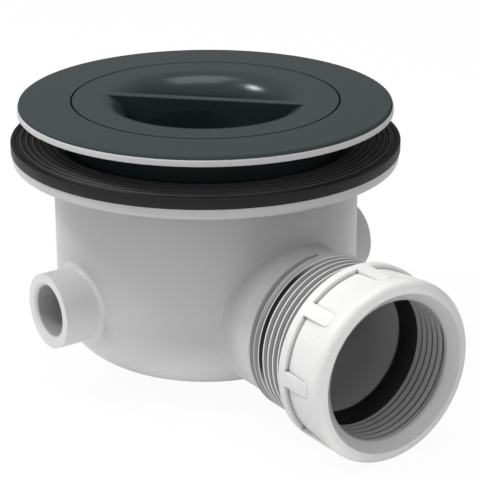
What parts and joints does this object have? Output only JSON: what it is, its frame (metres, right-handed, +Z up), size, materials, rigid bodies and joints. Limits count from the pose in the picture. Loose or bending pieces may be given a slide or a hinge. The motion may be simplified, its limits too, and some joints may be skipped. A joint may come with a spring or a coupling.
{
  "type": "shower trap",
  "caption": "Low shower tray trap: flanged cup body with side outlet, union nut, side inlets, clamping top plate with rubber seals, and a lift-out waste insert.",
  "frame": {"origin": "centre of the body's flat base, on the axis of the body and top plate", "axes": "+Z up along the body's axis, +X along the outlet towards its mouth, side inlets along +Y and -Y"},
  "size_m": [0.1549, 0.1206, 0.0847],
  "materials": {
    "white_body": "moulded satin",
    "white_nut": "moulded gloss",
    "pale_seal": "soft matte",
    "charcoal_plate": "moulded gloss",
    "black_rubber": "moulded matte"
  },
  "bodies": {
    "root": {"trap_body": "white_body", "union_nut": "white_nut", "seal_cup": "white_body", "upper_seal": "pale_seal", "top_flange": "charcoal_plate", "waste_insert": "charcoal_plate", "lower_gasket": "black_rubber", "outlet_seal": "black_rubber", "insert_o_ring": "black_rubber"}
  },
  "joints": []
}
